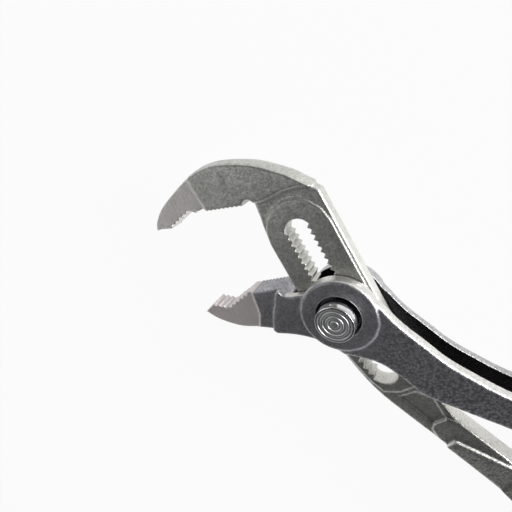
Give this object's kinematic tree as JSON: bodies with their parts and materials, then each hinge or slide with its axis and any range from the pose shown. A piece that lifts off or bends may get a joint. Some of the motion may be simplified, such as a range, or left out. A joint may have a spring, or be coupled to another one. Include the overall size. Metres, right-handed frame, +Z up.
{
  "type": "water pump pliers",
  "caption": "Push-button water pump pliers with angled toothed jaws, a box joint that slides along a toothed slot, and long handles in dipped sleeves.",
  "frame": {"origin": "under the middle of the tool's outline, on the surface that the tool lies on", "axes": "+X along the toothed slot from the upper jaw towards the handles, +Y towards the outer handle, +Z up along the bolt to the button"},
  "size_m": [0.2461, 0.1702, 0.0188],
  "materials": {
    "forged_steel": "shot-blasted grey forging with ground jaw tips",
    "bolt_steel": "machined",
    "button_steel": "bright turned, satin face",
    "spring_steel": "plain drawn wire and washer",
    "dipped_plastic": "smooth dipped, low gloss"
  },
  "bodies": {
    "outer_half": {"outer_lever": "forged_steel", "outer_grip": "dipped_plastic"},
    "pivot_seat": {"spring_seat": "spring_steel", "button_spring": "spring_steel"},
    "push_bolt": {"joint_bolt": "bolt_steel", "push_button": "button_steel"},
    "inner_half": {"inner_lever": "forged_steel", "inner_grip": "dipped_plastic"}
  },
  "joints": [
    {"name": "jaw_hinge", "type": "hinge", "parent": "outer_half", "child": "pivot_seat", "pos_m": [-0.0665, -0.0383, 0.00745], "axis": [0, 0, 1], "range_deg": [-15, 5]},
    {"name": "button_press", "type": "slide", "parent": "pivot_seat", "child": "push_bolt", "axis": [0, 0, -1], "range_m": [0, 0.0023], "stiffness_N_per_m": 1500, "springref_m": -0.002, "deforming": ["button_spring"]},
    {"name": "jaw_adjust", "type": "slide", "parent": "pivot_seat", "child": "inner_half", "axis": [1, 0, 0], "range_m": [-0.014, 0.022]}
  ]
}
